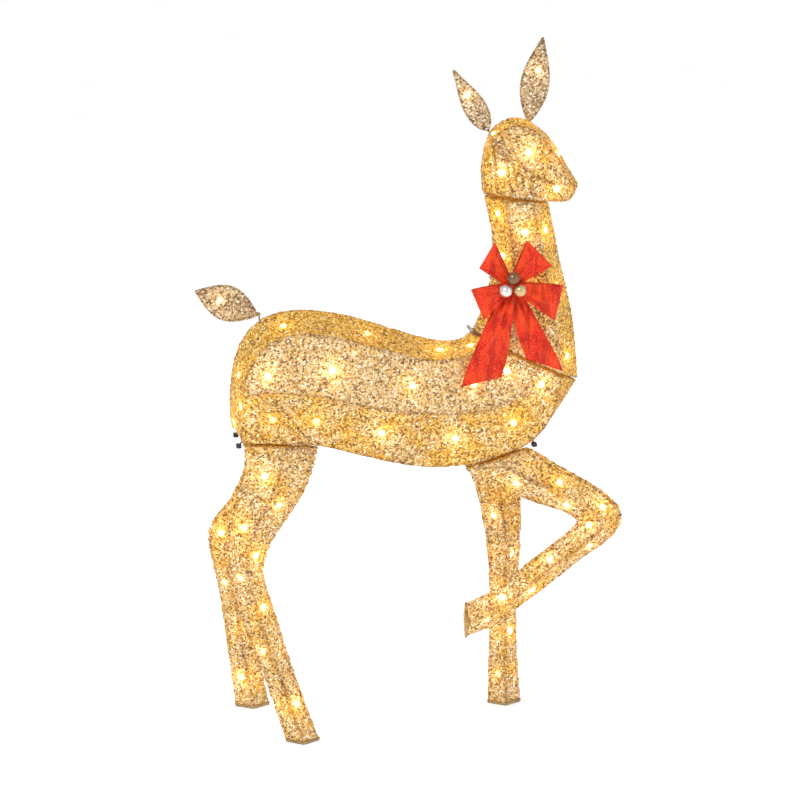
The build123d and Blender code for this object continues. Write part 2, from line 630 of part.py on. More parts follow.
def make_leaves():
    for name, ear in (("right_ear", RIGHT_EAR), ("left_ear", LEFT_EAR)):
        base, up = ear_axis(ear)
        make_leaf(name, ear, base - up * EAR_STEM)
    x, z = TAIL_PIVOT
    stem_foot = Vector(x, 0, z) + ear_axis(TAIL)[1] * (KNUCKLE_R - KNUCKLE_BITE)
    make_leaf("tail", TAIL, stem_foot, [cross_tube(x, z, -TAIL_KNUCKLE_Y, TAIL_KNUCKLE_Y)])


def bow_wedge(end, knot_depth, wall=0.0):
    """A straight wedge from the knot to a ribbon's end.

    With a wall it is the hollow of a loop: thinner by the wall all round, and open at both edges.
    """
    (upper_x, upper_z), (lower_x, lower_z), y, depth = end
    upper, lower = Vector(upper_x, y - wall, upper_z), Vector(lower_x, y - wall, lower_z)
    knot = Vector(KNOT[0], KNOT_BACK - wall, KNOT[2])
    outward = ((upper + lower) * 0.5 - knot).normalized()
    aside = (upper - lower).normalized()
    start = knot + outward * (RIBBON_START + wall)
    narrow = aside * (RIBBON_NARROW / 2)
    open_edges = aside * wall * 2
    inwards = outward * wall
    back, end_back = Vector(0, 2 * wall - knot_depth, 0), Vector(0, 2 * wall - depth, 0)
    low = [start + narrow + open_edges, start - narrow - open_edges]
    high = [upper + open_edges - inwards, lower - open_edges - inwards]
    return faceted_solid([
        [low[0], low[1], low[1] + back, low[0] + back],
        [high[0], high[1], high[1] + end_back, high[0] + end_back],
    ])


def bow_loop(end):
    return bow_wedge(end, LOOP_ROOT) - bow_wedge(end, LOOP_ROOT, RIBBON_WALL)


def make_bow():
    save("bow_upper_loops", *(bow_loop(end) for end in UPPER_LOOPS))
    save("bow_lower_loops", *(bow_loop(end) for end in LOWER_LOOPS))
    save("bow_tails", *(bow_wedge(end, RIBBON_WALL) for end in BOW_TAILS))
    wrap = Pos(*KNOT) * Box(*KNOT_SIZE)
    save("bow_centre_wrap", fillet(wrap.edges(), WRAP_FILLET))
    wrap_front = KNOT[1] - KNOT_SIZE[1] / 2
    for colour, place in BAUBLES.items():
        ball = Pos(*place) * Sphere(BAUBLE_R)
        neck = rod(place, (place[0], wrap_front - BAUBLE_GAP, place[2]), BAUBLE_NECK_R)
        hollow = Pos(*place) * Sphere(BAUBLE_R - BAUBLE_WALL)
        save(f"{colour}_bauble", ball.fuse(neck) - hollow)
    make_tie_wire()


def make_tie_wire():
    """A thin wire round the neck at the height of the knot, with two ends to the centre wrap."""
    rings = mirrored_rings(NECK_RIBS)
    around = [(a + b) * 0.5 for a, b in zip(rings[2], rings[3])]
    middle = centre(around)
    loop = [p + (p - middle).normalized() * TIE_STAND_OFF for p in around]
    wires = [rod(a, b, TIE_WIRE_R) for a, b in zip(loop, loop[1:] + loop[:1])]
    side = (loop[1] + loop[2]) * 0.5
    wrap_back = KNOT[1] + KNOT_SIZE[1] / 2 + TIE_END_GAP
    for x in (KNOT[0] - TIE_X, KNOT[0] + TIE_X):
        wires.append(rod((x, side.Y, KNOT[2] + TIE_END_DROP), (x, wrap_back, KNOT[2]), TIE_WIRE_R))
    save("bow_tie_wire", *wires)


def clip_places():
    """Centre and stem tip of each of the four leg clips."""
    return [[Vector(x, side * y, z) for x, y, z in ends] for ends in LEG_CLIPS for side in (-1, 1)]


def make_small_parts():
    clips = []
    for clip_centre, stem_tip in clip_places():
        body = Plane(clip_centre, x_dir=(1, 0, 0), z_dir=(0, 0, 1)) * Box(*CLIP_SIZE)
        clips.append(fillet(body.edges(), CLIP_FILLET).fuse(rod(clip_centre, stem_tip, RIB_WIRE_R)))
    save("leg_clips", *clips)
    down_seam, pad_y, pad_r = REST_PAD
    near, far = REST_PAD_SPAN
    pad = Pos(down_seam, 0, (near + far) / 2) * Cylinder(pad_r, far - near)
    save("neck_rest_pads", *(seam_plane() * Pos(0, y, 0) * pad for y in (-pad_y, pad_y)))
    coil = Helix(pitch=LEAD_PITCH, height=LEAD_TURNS * LEAD_PITCH, radius=LEAD_COIL_R, center=LEAD_COIL)
    save("supply_lead", sweep(Plane(coil @ 0, z_dir=coil % 0) * Circle(LEAD_R), path=coil))
    plug = Pos(*LEAD_COIL) * Pos(0, 0, LEAD_TURNS * LEAD_PITCH / 2) * Cylinder(PLUG_R, PLUG_LENGTH)
    save("supply_plug", fillet(plug.edges(), PLUG_FILLET))


os.makedirs("parts", exist_ok=True)
make_torso()
make_neck_hinge()
make_neck()
make_head()
make_leaves()
make_leg("right_hind_leg", RIGHT_HIND_RIBS, -1, HIND_PRONG_X)
make_leg("left_hind_leg", LEFT_HIND_RIBS, 1, HIND_PRONG_X)
make_leg("right_front_leg", RIGHT_FRONT_RIBS, -1, FRONT_PRONG_X)
make_leg("left_front_leg", LEFT_FRONT_RIBS, 1, FRONT_PRONG_X)
make_bow()
make_small_parts()
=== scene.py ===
"""Looks of the light up yard reindeer: wound glitter thread over its wire frames, lamps and a red bow."""
import math

import bmesh
import bpy
import numpy as np
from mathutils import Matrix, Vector
from mathutils.bvhtree import BVHTree
from mathutils.kdtree import KDTree


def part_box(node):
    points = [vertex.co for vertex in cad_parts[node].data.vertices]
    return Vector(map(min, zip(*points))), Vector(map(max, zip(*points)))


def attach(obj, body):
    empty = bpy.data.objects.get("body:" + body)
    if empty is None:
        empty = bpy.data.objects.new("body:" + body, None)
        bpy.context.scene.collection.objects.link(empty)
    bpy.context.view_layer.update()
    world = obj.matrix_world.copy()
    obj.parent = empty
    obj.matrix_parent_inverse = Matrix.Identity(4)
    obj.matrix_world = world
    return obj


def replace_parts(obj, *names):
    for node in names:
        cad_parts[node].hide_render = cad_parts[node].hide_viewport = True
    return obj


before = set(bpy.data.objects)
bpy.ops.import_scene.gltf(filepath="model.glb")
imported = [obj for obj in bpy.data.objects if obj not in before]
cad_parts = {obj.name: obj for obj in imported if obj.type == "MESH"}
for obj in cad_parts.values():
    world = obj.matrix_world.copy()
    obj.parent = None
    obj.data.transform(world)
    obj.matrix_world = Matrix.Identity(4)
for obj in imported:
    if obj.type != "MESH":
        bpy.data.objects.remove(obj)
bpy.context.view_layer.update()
MM = 0.001
UP = (0, 0, 1)

# Thread covers, with lengths in mm: section, remesh size, way its long wires run, windings as
# (direction, spacing), and how far its top and its bottom end reach to close the seams there.
SECTIONS = [
    ("torso", 3.1, (1, 0, 0), [((1, 0, 0.12), 8.0), ((1, 0, -0.45), 13.0)], 0, 0),
    ("neck", 2.4, UP, [((0.1, 0, 1), 4.5)], 1.5, 0),
    ("head", 2.0, (1, 0, -0.5), [((0.5, 0, 1), 7.0), ((1, 0, 0.2), 11.0)], 0, 1.2),
    ("right_hind_leg", 2.2, UP, [(UP, 6.0)], 4.0, 0),
    ("left_hind_leg", 2.2, UP, [(UP, 6.0)], 4.0, 0),
    ("right_front_leg", 2.2, (0.8, 0, 0.6), [((0.6, 0, 1), 6.0)], 4.0, 0),
    ("left_front_leg", 2.2, UP, [(UP, 6.0)], 4.0, 0),
]
# The axis along which each leg ends in its hoof: Z where it stands, X where it is lifted.
HOOF_AXES = {"right_hind_leg": 2, "left_hind_leg": 2, "right_front_leg": 0, "left_front_leg": 2}
LEAVES = ["right_ear", "left_ear", "tail"]

# The wound thread
LUMP = 0.5 * MM             # unevenness of the surface
LUMP_LENGTH = 11 * MM       # from one small lump to the next
SWELL_LENGTH = 60 * MM      # from one broad lump to the next
LAMP_BUMP = 1.2 * MM        # how far a lamp pushes the thread out
LAMP_BUMP_REACH = 5 * MM
RIDGE = 0.9 * MM            # how far a frame wire stands out under the thread
RIDGE_REACH = 2.6 * MM
WIRE_DEPTH = 2.4 * MM       # depth of the frame's wires under the surface
RIB_FADE = 1.6              # a rib is fainter than a long wire: its distance counts this much more
RIB_GAP = 1.2 * MM          # and has this much added
SEAM_ZONE = 60 * MM         # height of the slanted end in which a seam is closed
STRAND_R = 0.5 * MM
STRAND_LIFT = 0.25 * MM
STRAND_WOBBLE = 2.2 * MM
STRAND_WOBBLE_LENGTH = 90 * MM
SHORTEST_STRAND = 12        # crossings of the surface's edges
STRAND_STEP = 3             # crossings from one corner of a strand to the next
LAMP_POWERS = (0.35, 1.25)  # weakest and strongest lamp

# Where a cover's edges have wires under them
SEAM_ANGLE = math.radians(14)       # least angle between facets over a long wire
SHARP_ANGLE = math.radians(38)      # angle above which any edge has a wire under it
ALONG_GRAIN = 0.55          # cosine of the widest angle of an edge to the way long wires run
HOOF_WIRE_R = 2.2 * MM
HOOF_WIRE_OUT = 0.6 * MM    # hoof ring outside the cover's corners

# Telling the outer skin of a cover from its inner skin
SKY_LOOKS = 24              # directions in which a face looks for open air
OPEN_SHARE = 0.62           # share of them that must be free
GOLDEN_ANGLE = 2.39996

# Ears and tail
LEAF_LUMP_LENGTH = 9 * MM
LEAF_LAMP_BUMP = 1.0 * MM
LEAF_RIB = 0.7 * MM
LEAF_RIB_REACH = 1.6 * MM
LEAF_THICK = 4.6 * MM       # half thickness at the widest place
LEAF_CUP = 3 * MM
LEAF_ENDS = (-2 * MM, 4 * MM)       # blade beyond the cover at the stem and at the tip
LEAF_RIM_R = 1.7 * MM

# Bow
RIBBON_THICK = 0.7 * MM
RIBBON_EDGE_R = 0.8 * MM
RIBBON_COLUMNS = 22
LOOP_START = 9 * MM         # from the knot's middle
GATHERED_HALF = 8 * MM      # half width of a loop at the knot
TAIL_GATHERED_HALF = 9 * MM
END_ZONE = 0.6              # share of a ribbon's reach beyond which its far end's corners lie

# Stage and camera
FIGURE_MIDDLE_Z = 0.65
FLOOR_HALF = 30
FLOOR_GLOW = 0.34
WORLD_LIGHT = 0.72
CAMERA_AZIMUTH = math.radians(-7)
CAMERA_ELEVATION = math.radians(13)
CAMERA_DISTANCE = 5.2
CAMERA_TARGET = (-0.0205, 0, 0.640)
CAMERA_LENS = 122.5

# Colours of the flecks of thread and ribbon, from the darkest to the brightest; the brightest stops are
# painted glints of the glitter
RIBBON_RED = [
    (0.0, (0.34, 0.003, 0.002)), (0.45, (0.74, 0.012, 0.004)),
    (0.85, (0.92, 0.04, 0.008)), (1.0, (1.0, 0.20, 0.06)),
]
PALE_GOLD = [
    (0.0, (0.15, 0.085, 0.035)), (0.18, (0.40, 0.23, 0.09)), (0.45, (0.70, 0.45, 0.17)),
    (0.75, (0.86, 0.64, 0.33)), (0.93, (0.96, 0.84, 0.62)), (1.0, (1.0, 0.95, 0.90)),
]
RICH_GOLD = [
    (0.0, (0.18, 0.08, 0.012)), (0.18, (0.42, 0.20, 0.025)), (0.45, (0.72, 0.38, 0.045)),
    (0.75, (0.88, 0.54, 0.09)), (0.93, (0.98, 0.74, 0.24)), (1.0, (1.0, 0.90, 0.60)),
]
GREY_GOLD = [
    (0.0, (0.10, 0.06, 0.03)), (0.16, (0.26, 0.165, 0.085)), (0.42, (0.46, 0.31, 0.165)),
    (0.72, (0.64, 0.47, 0.28)), (0.92, (0.84, 0.70, 0.50)), (1.0, (1.0, 0.93, 0.82)),
]


# ------------------------------------------------------------------ reading the CAD

def welded(node):
    """A bmesh of a CAD node with its split corners joined again."""
    bm = bmesh.new()
    bm.from_mesh(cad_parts[node].data)
    bmesh.ops.remove_doubles(bm, verts=bm.verts, dist=1e-6)
    bm.verts.ensure_lookup_table()
    bm.faces.ensure_lookup_table()
    return bm


def solids(node):
    """The corners of each separate solid of a CAD node."""
    bm = welded(node)
    seen = set()
    groups = []
    for start in bm.verts:
        if start.index in seen:
            continue
        seen.add(start.index)
        stack = [start]
        group = []
        while stack:
            vert = stack.pop()
            group.append(tuple(vert.co))
            for edge in vert.link_edges:
                other = edge.other_vert(vert)
                if other.index not in seen:
                    seen.add(other.index)
                    stack.append(other)
        groups.append(np.array(group))
    bm.free()
    return groups


def middle_of(points):
    return (points.max(0) + points.min(0)) / 2


def in_open_air(tree, face):
    """Whether a face looks out. The inner skin and the hole walls of a cover see mostly the cover."""
    side = face.normal.orthogonal().normalized()
    other = face.normal.cross(side)
    start = face.calc_center_median() + face.normal * 0.2 * MM
    clear = 0
    for k in range(SKY_LOOKS):
        height = (k + 0.5) / SKY_LOOKS
        turn = k * GOLDEN_ANGLE
        flat = math.sqrt(1 - height * height)
        look = face.normal * height + (side * math.cos(turn) + other * math.sin(turn)) * flat
        clear += tree.ray_cast(start, look)[0] is None
    return clear > SKY_LOOKS * OPEN_SHARE


def outer_skin(node):
    """A closed bmesh of the outer surface of a hollow CAD cover."""
    bm = welded(node)
    tree = BVHTree.FromBMesh(bm)
    inner = [face for face in bm.faces if not in_open_air(tree, face)]
    bmesh.ops.delete(bm, geom=inner, context="FACES")
    bmesh.ops.delete(bm, geom=[v for v in bm.verts if not v.link_faces], context="VERTS")
    bmesh.ops.holes_fill(bm, edges=bm.edges, sides=0)
    bmesh.ops.recalc_face_normals(bm, faces=bm.faces)
    return bm


def seam_points(bm, grain):
    """Points every millimetre along the edges of a cover that have a frame wire under them."""
    grain = Vector(grain).normalized()
    points = []
    for edge in bm.edges:
        a, b = (v.co for v in edge.verts)
        angle = edge.calc_face_angle(0)
        follows = abs((b - a).normalized().dot(grain)) > ALONG_GRAIN
        if angle > SHARP_ANGLE or (follows and angle > SEAM_ANGLE):
            steps = max(1, round((b - a).length / MM))
            points += [a.lerp(b, k / steps) for k in range(steps + 1)]
    return points


# ------------------------------------------------------------------ building meshes

def add_object(name, mesh, body, material):
    """A smooth shaded piece that rides on a body."""
    obj = bpy.data.objects.new(name, mesh)
    bpy.context.scene.collection.objects.link(obj)
    mesh.polygons.foreach_set("use_smooth", [True] * len(mesh.polygons))
    mesh.materials.clear()
    mesh.materials.append(material)
    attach(obj, body)
    return obj


def mesh_of(name, verts, faces):
    mesh = bpy.data.meshes.new(name)
    mesh.from_pydata([tuple(v) for v in verts], [], faces)
    mesh.update()
    return mesh


def remeshed(bm, size):
    """A mesh of even quads of the given size around a closed bmesh."""
    mesh = bpy.data.meshes.new("skin")
    bm.to_mesh(mesh)
    holder = bpy.data.objects.new("skin", mesh)
    bpy.context.scene.collection.objects.link(holder)
    modifier = holder.modifiers.new("remesh", "REMESH")
    modifier.mode = "VOXEL"
    modifier.voxel_size = size
    evaluated = holder.evaluated_get(bpy.context.evaluated_depsgraph_get())
    result = bpy.data.meshes.new_from_object(evaluated)
    bpy.data.objects.remove(holder)
    return result


def polygons(mesh):
    return [tuple(polygon.vertices) for polygon in mesh.polygons]


def surface_tree(co, mesh):
    return BVHTree.FromPolygons([tuple(point) for point in co], polygons(mesh))


def corners(mesh):
    co = np.empty(len(mesh.vertices) * 3)
    mesh.vertices.foreach_get("co", co)
    return co.reshape(-1, 3)


def corner_normals(mesh):
    normals = np.empty(len(mesh.vertices) * 3)
    mesh.vertex_normals.foreach_get("vector", normals)
    return normals.reshape(-1, 3)


def triangles(mesh):
    mesh.calc_loop_triangles()
    tris = np.empty(len(mesh.loop_triangles) * 3, int)
    mesh.loop_triangles.foreach_get("vertices", tris)
    return tris.reshape(-1, 3)


def waviness(co, wavelength, seed):
    """Smooth noise between about -1 and 1 from a few crossing waves."""
    rng = np.random.default_rng(seed)
    total = np.zeros(len(co))
    for _ in range(6):
        direction = rng.normal(size=3)
        direction *= rng.uniform(0.7, 1.6) / np.linalg.norm(direction)
        total += np.sin(co @ direction * (2 * math.pi / wavelength) + rng.uniform(0, 6.3))
    return total / 3.2


def kd_tree(points):
    tree = KDTree(len(points))
    for index, point in enumerate(points):
        tree.insert(point, index)
    tree.balance()
    return tree


def distances(tree, co):
    return np.array([tree.find(point)[2] for point in co])


def nearest_indices(tree, co):
    return np.array([tree.find(point)[1] for point in co])


def bell(gap, reach):
    """A smooth hill, 1 at no gap and fading out beyond the reach."""
    return np.exp(-((gap / reach) ** 2))


def level_loops(co, normals, tris, levels):
    """Closed loops where a surface crosses whole levels, as arrays of points and of normals."""
    whole = np.floor(levels).astype(int)
    count = len(co)
    links = {}
    for a, b, c in tris[(whole[tris].max(1) - whole[tris].min(1)) == 1]:
        edges = [(p, q) for p, q in ((a, b), (b, c), (c, a)) if whole[p] != whole[q]]
        keys = [min(p, q) * count + max(p, q) for p, q in edges]
        links.setdefault(keys[0], []).append(keys[1])
        links.setdefault(keys[1], []).append(keys[0])
    loops = []
    while links:
        key, neighbours = links.popitem()
        chain = [key]
        step = neighbours[0]
        while step in links:
            chain.append(step)
            onward = [k for k in links.pop(step) if k in links]
            if not onward:
                break
            step = onward[0]
        a, b = np.divmod(np.array(chain), count)
        share = ((np.maximum(whole[a], whole[b]) - levels[a]) / (levels[b] - levels[a]))[:, None]
        loops.append((co[a] + (co[b] - co[a]) * share, normals[a] + (normals[b] - normals[a]) * share))
    return loops


def tube_mesh(points, normals, radius, sides, closed=True):
    """Corners and faces of a tube along a path; normals say which way is out."""
    ahead = np.roll(points, -1, 0) - np.roll(points, 1, 0)
    if not closed:
        ahead[0], ahead[-1] = points[1] - points[0], points[-1] - points[-2]
    aside = np.cross(ahead, normals)
    aside /= np.linalg.norm(aside, axis=1)[:, None] + 1e-12
    out = np.cross(aside, ahead)
    out /= np.linalg.norm(out, axis=1)[:, None] + 1e-12
    turn = np.arange(sides) * 2 * math.pi / sides
    ring = out[:, None] * np.cos(turn)[None, :, None] + aside[:, None] * np.sin(turn)[None, :, None]
    verts = (points[:, None] + ring * radius).reshape(-1, 3)
    rows = len(points)
    last = rows if closed else rows - 1
    faces = []
    for i in range(last):
        j = (i + 1) % rows
        for k in range(sides):
            m = (k + 1) % sides
            faces.append((i * sides + k, i * sides + m, j * sides + m, j * sides + k))
    if not closed:
        faces.append(tuple(reversed(range(sides))))
        faces.append(tuple((rows - 1) * sides + k for k in range(sides)))
    return verts, faces


def joined(parts):
    """One list of corners and of faces from several."""
    verts, faces, start = [], [], 0
    for part_verts, part_faces in parts:
        verts.append(np.asarray(part_verts))
        faces += [tuple(index + start for index in face) for face in part_faces]
        start += len(part_verts)
    return np.concatenate(verts), faces


def strands(co, normals, tris, windings, seed):
    """Thin threads wound around a surface."""
    parts = []
    for number, (direction, spacing) in enumerate(windings):
        wobble = waviness(co, STRAND_WOBBLE_LENGTH, seed + number) * STRAND_WOBBLE
        levels = (co @ np.array(direction, float) + wobble) / (spacing * MM)
        for points, outward in level_loops(co, normals, tris, levels):
            if len(points) < SHORTEST_STRAND:
                continue
            points, outward = points[::STRAND_STEP], outward[::STRAND_STEP]
            parts.append(tube_mesh(points + outward * STRAND_LIFT, outward, STRAND_R, 3))
    return parts


def set_attributes(mesh, lamp_points, wire_gap, tone):
    """What the thread material reads: way from the nearest lamp and its strength, gap to a wire, tone."""
    co = corners(mesh)
    spots = np.array(lamp_points)
    tree = kd_tree(lamp_points)
    nearest = nearest_indices(tree, co)
    offset = mesh.attributes.new("lamp_offset", "FLOAT_VECTOR", "POINT")
    offset.data.foreach_set("vector", (co - spots[nearest]).astype(np.float32).ravel())
    power = np.random.default_rng(len(lamp_points)).uniform(*LAMP_POWERS, len(spots))[nearest]
    for name, values in (("wire_gap", wire_gap), ("tone", tone), ("lamp_power", power)):
        attribute = mesh.attributes.new(name, "FLOAT", "POINT")
        attribute.data.foreach_set("value", values.astype(np.float32))


def torso_tone_with_painted_light(normals):
    """0 on the upper sides, painted pale as light falls on them; 0.55 on the lower sides, painted a
    darker, richer gold as shade; 1 on the strips along the median.
    """
    strip = np.clip((0.80 - np.abs(normals[:, 1])) / 0.12, 0, 1)
    # Painted shade: the sides that face down get the darker, richer gold.
    lower = np.clip((0.05 - normals[:, 2]) / 0.2, 0, 1)
    return np.maximum(strip, lower * 0.55)


def strip_tone(normals):
    """A medium gold on the sides and a richer one on the strips along the median."""
    strip = np.clip((0.72 - np.abs(normals[:, 1])) / 0.15, 0, 1)
    return 0.38 + 0.5 * strip


def gap_to_wires(section, co, seam_tree):
    """Distance of each corner from the nearest frame wire; ribs count as fainter than long wires."""
    wires = welded(f"{section}_frame")
    tree = BVHTree.FromBMesh(wires)
    wires.free()
    rib_gap = np.array([tree.find_nearest(Vector(point))[3] for point in co]) - WIRE_DEPTH
    return np.minimum(distances(seam_tree, co), np.maximum(rib_gap, 0) * RIB_FADE + RIB_GAP)


def close_seams(surface, co, normals, top_reach, bottom_reach):
    """Push the slanted ends of a cover up and down towards its neighbours."""
    for sign, reach in ((1, top_reach), (-1, bottom_reach)):
        height = co[:, 2] * sign
        near_end = np.clip((height - height.max() + SEAM_ZONE) / SEAM_ZONE, 0, 1)
        facing = np.clip(normals[:, 2] * sign * 3 - 1.6, 0, 1)
        surface[:, 2] += sign * reach * MM * near_end * facing


def thread_cover(section, size, grain, windings, top_reach, bottom_reach, material):
    """The wound cover of a section, over ridges of frame wire and bumps of lamps."""
    skin = outer_skin(f"{section}_cover")
    seam_tree = kd_tree(seam_points(skin, grain))
    mesh = remeshed(skin, size * MM)
    skin.free()
    co, normals = corners(mesh), corner_normals(mesh)
    shape = surface_tree(co, mesh)
    lamp_points = [shape.find_nearest(Vector(middle_of(s)))[0] for s in solids(f"{section}_lamps")]
    lamp_gap = distances(kd_tree(lamp_points), co)
    wire_gap = gap_to_wires(section, co, seam_tree)
    seed = sum(map(ord, section))
    push = (waviness(co, LUMP_LENGTH, seed) + waviness(co, SWELL_LENGTH, seed + 1)) * LUMP
    push += LAMP_BUMP * bell(lamp_gap, LAMP_BUMP_REACH) + RIDGE * bell(wire_gap, RIDGE_REACH)
    surface = co + normals * push[:, None]
    close_seams(surface, co, normals, top_reach, bottom_reach)
    threads = strands(surface, normals, triangles(mesh), windings, seed)
    verts, faces = joined([(surface, polygons(mesh))] + threads)
    whole = mesh_of(f"{section}_thread_cover", verts, faces)
    under_strands = nearest_indices(kd_tree(co), verts[len(co):])
    source = np.concatenate([np.arange(len(co)), under_strands]).astype(int)
    tone_of = torso_tone_with_painted_light if section == "torso" else strip_tone
    set_attributes(whole, lamp_points, wire_gap[source], tone_of(normals)[source])
    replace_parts(add_object(whole.name, whole, section, material), f"{section}_cover")


# ------------------------------------------------------------------ ears and tail

def leaf_axes(name):
    """Middle of a leaf, its directions along, across and through, and its half widths along it.

    The half widths are given at evenly spaced places from the stem's end to the tip.
    """
    co = corners(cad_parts[f"{name}_cover"].data)
    wire = corners(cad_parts[f"{name}_frame"].data)
    centre = middle_of(co)
    _, _, axes = np.linalg.svd(co - co.mean(0), full_matrices=False)
    along, across = axes[0], axes[1]
    reach, wire_reach = (co - centre) @ along, (wire - centre) @ along
    stem_is_ahead = wire_reach.max() - reach.max() > reach.min() - wire_reach.min()
    if stem_is_ahead:
        along, reach = -along, -reach
    places = np.linspace(reach.min(), reach.max(), 11)
    sideways = np.abs((co - centre) @ across)
    halves = [sideways[np.abs(reach - place) < 6 * MM].max() for place in places]
    return centre, along, across, np.cross(along, across), places, halves


def leaf_blade(centre, along, across, through, places, halves):
    """A cupped blade that is pointed at its tip, as a remeshed skin, and the points of its rim."""
    low, high = places[0] + LEAF_ENDS[0], places[-1] + LEAF_ENDS[1]
    rows, sides = 44, 24
    turn = np.arange(sides) * 2 * math.pi / sides
    bulge = np.abs(np.sin(turn)) ** 1.3 * np.sign(np.sin(turn))
    verts, rim, other_rim = [], [], []
    for k in range(rows + 1):
        t = k / rows
        place = low + (high - low) * t
        taper = min(1, t / 0.08, (1 - t) / 0.12) ** 0.6
        half = np.interp(place, places, halves) * max(taper, 0.02)
        thick = LEAF_THICK * (half / max(halves)) ** 0.5
        spine = centre + along * place + through * LEAF_CUP * (math.sin(math.pi * t) - 0.5)
        verts += list(spine + np.cos(turn)[:, None] * half * across + bulge[:, None] * thick * through)
        rim.append(spine + across * half)
        other_rim.append(spine - across * half)
    faces = []
    for k in range(rows):
        for i in range(sides):
            j = (i + 1) % sides
            faces.append((k * sides + i, k * sides + j, (k + 1) * sides + j, (k + 1) * sides + i))
    faces += [tuple(reversed(range(sides))), tuple(rows * sides + i for i in range(sides))]
    bm = bmesh.new()
    bm.from_mesh(mesh_of("blade", verts, faces))
    bmesh.ops.recalc_face_normals(bm, faces=bm.faces)
    mesh = remeshed(bm, 1.5 * MM)
    bm.free()
    return mesh, np.array(rim + other_rim[::-1])


def leaf_lamp_points(name, shape, through):
    """Where a line through the lens of a leaf's lamp meets the blade on both sides."""
    lens = min(solids(f"{name}_lamp"), key=lambda s: np.linalg.norm(s.max(0) - s.min(0)))
    middle = Vector(middle_of(lens))
    facing = Vector(through if through[1] < 0 else -through)
    hits = [shape.ray_cast(middle + facing * side * 50 * MM, facing * -side)[0] for side in (1, -1)]
    return [middle if hit is None else hit for hit in hits]


def leaf(name, material):
    """A leaf of thread over a pointed wire loop with a mid rib, with one lamp in it."""
    centre, along, across, through, places, halves = leaf_axes(name)
    mesh, rim = leaf_blade(centre, along, across, through, places, halves)
    outward = rim - centre - ((rim - centre) @ along)[:, None] * along
    co, normals = corners(mesh), corner_normals(mesh)
    lamp_points = leaf_lamp_points(name, surface_tree(co, mesh), through)
    seed = sum(map(ord, name))
    push = waviness(co, LEAF_LUMP_LENGTH, seed) * LUMP
    push += LEAF_LAMP_BUMP * bell(distances(kd_tree(lamp_points), co), LAMP_BUMP_REACH)
    push += LEAF_RIB * bell(np.abs((co - centre) @ across), LEAF_RIB_REACH)
    surface = co + normals * push[:, None]
    parts = [(surface, polygons(mesh))]
    parts += strands(surface, normals, triangles(mesh), [(tuple(along), 5.0)], seed)
    parts.append(tube_mesh(rim, outward, LEAF_RIM_R, 8))
    verts, faces = joined(parts)
    whole = mesh_of(f"{name}_thread_cover", verts, faces)
    rib_gap = np.abs((verts - centre) @ across) * 1.8 + 1.4 * MM
    wire_gap = np.minimum(distances(kd_tree(list(rim)), verts), rib_gap)
    set_attributes(whole, lamp_points, wire_gap, np.zeros(len(verts)))
    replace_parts(add_object(whole.name, whole, name, material), f"{name}_cover")


# ------------------------------------------------------------------ bow

def ribbon(path, arms, normals, pleats, seed):
    """A ribbon with wired edges: half-width arms on both sides of a path, folded by pleats."""
    across = np.linspace(-1, 1, RIBBON_COLUMNS)
    rows = len(path)
    fold = np.cos(across * math.pi * 2.5 + seed) * 0.7 + np.sin(across * math.pi * 4.5 + seed) * 0.3
    sheet = path[:, None] + arms[:, None] * across[None, :, None]
    sheet = sheet + normals[:, None] * (pleats[:, None] * fold[None])[..., None]
    front = (sheet + normals[:, None] * RIBBON_THICK / 2).reshape(-1, 3)
    back = (sheet - normals[:, None] * RIBBON_THICK / 2).reshape(-1, 3)
    count = rows * RIBBON_COLUMNS
    last = RIBBON_COLUMNS - 1
    faces = []
    for i in range(rows - 1):
        for j in range(last):
            a, b = i * RIBBON_COLUMNS + j, (i + 1) * RIBBON_COLUMNS + j
            faces.append((a, a + 1, b + 1, b))
            faces.append((count + a, count + b, count + b + 1, count + a + 1))
        a, b = i * RIBBON_COLUMNS, (i + 1) * RIBBON_COLUMNS
        faces.append((a, b, count + b, count + a))
        a, b = a + last, b + last
        faces.append((b, a, count + a, count + b))
    for i in (0, rows - 1):
        for j in range(last):
            a = i * RIBBON_COLUMNS + j
            face = (a, count + a, count + a + 1, a + 1)
            faces.append(face if i == 0 else tuple(reversed(face)))
    parts = [(np.concatenate([front, back]), faces)]
    for j in (0, last):
        parts.append(tube_mesh(sheet[:, j], normals, RIBBON_EDGE_R, 6, closed=False))
    return parts


def end_corners(solid, knot):
    """The upper and the lower corner (x, z) of a ribbon's far end, and the y range there."""
    reach = np.linalg.norm(solid[:, [0, 2]] - knot[[0, 2]], axis=1)
    far = solid[reach > END_ZONE * reach.max()]
    spread = far[:, [0, 2]]
    ways = spread - knot[[0, 2]]
    middle = unit(ways.mean(0))
    side = ways[:, 0] * middle[1] - ways[:, 1] * middle[0]
    upper, lower = spread[np.argmax(side)], spread[np.argmin(side)]
    if upper[1] < lower[1]:
        upper, lower = lower, upper
    return upper, lower, far[:, 1].min(), far[:, 1].max()


def unit(vector):
    return vector / np.linalg.norm(vector, axis=-1, keepdims=True)


def in_space(flat, y):
    """Points in space from their (x, z) and their y."""
    return np.stack([flat[:, 0], np.broadcast_to(y, len(flat)), flat[:, 1]], axis=1)


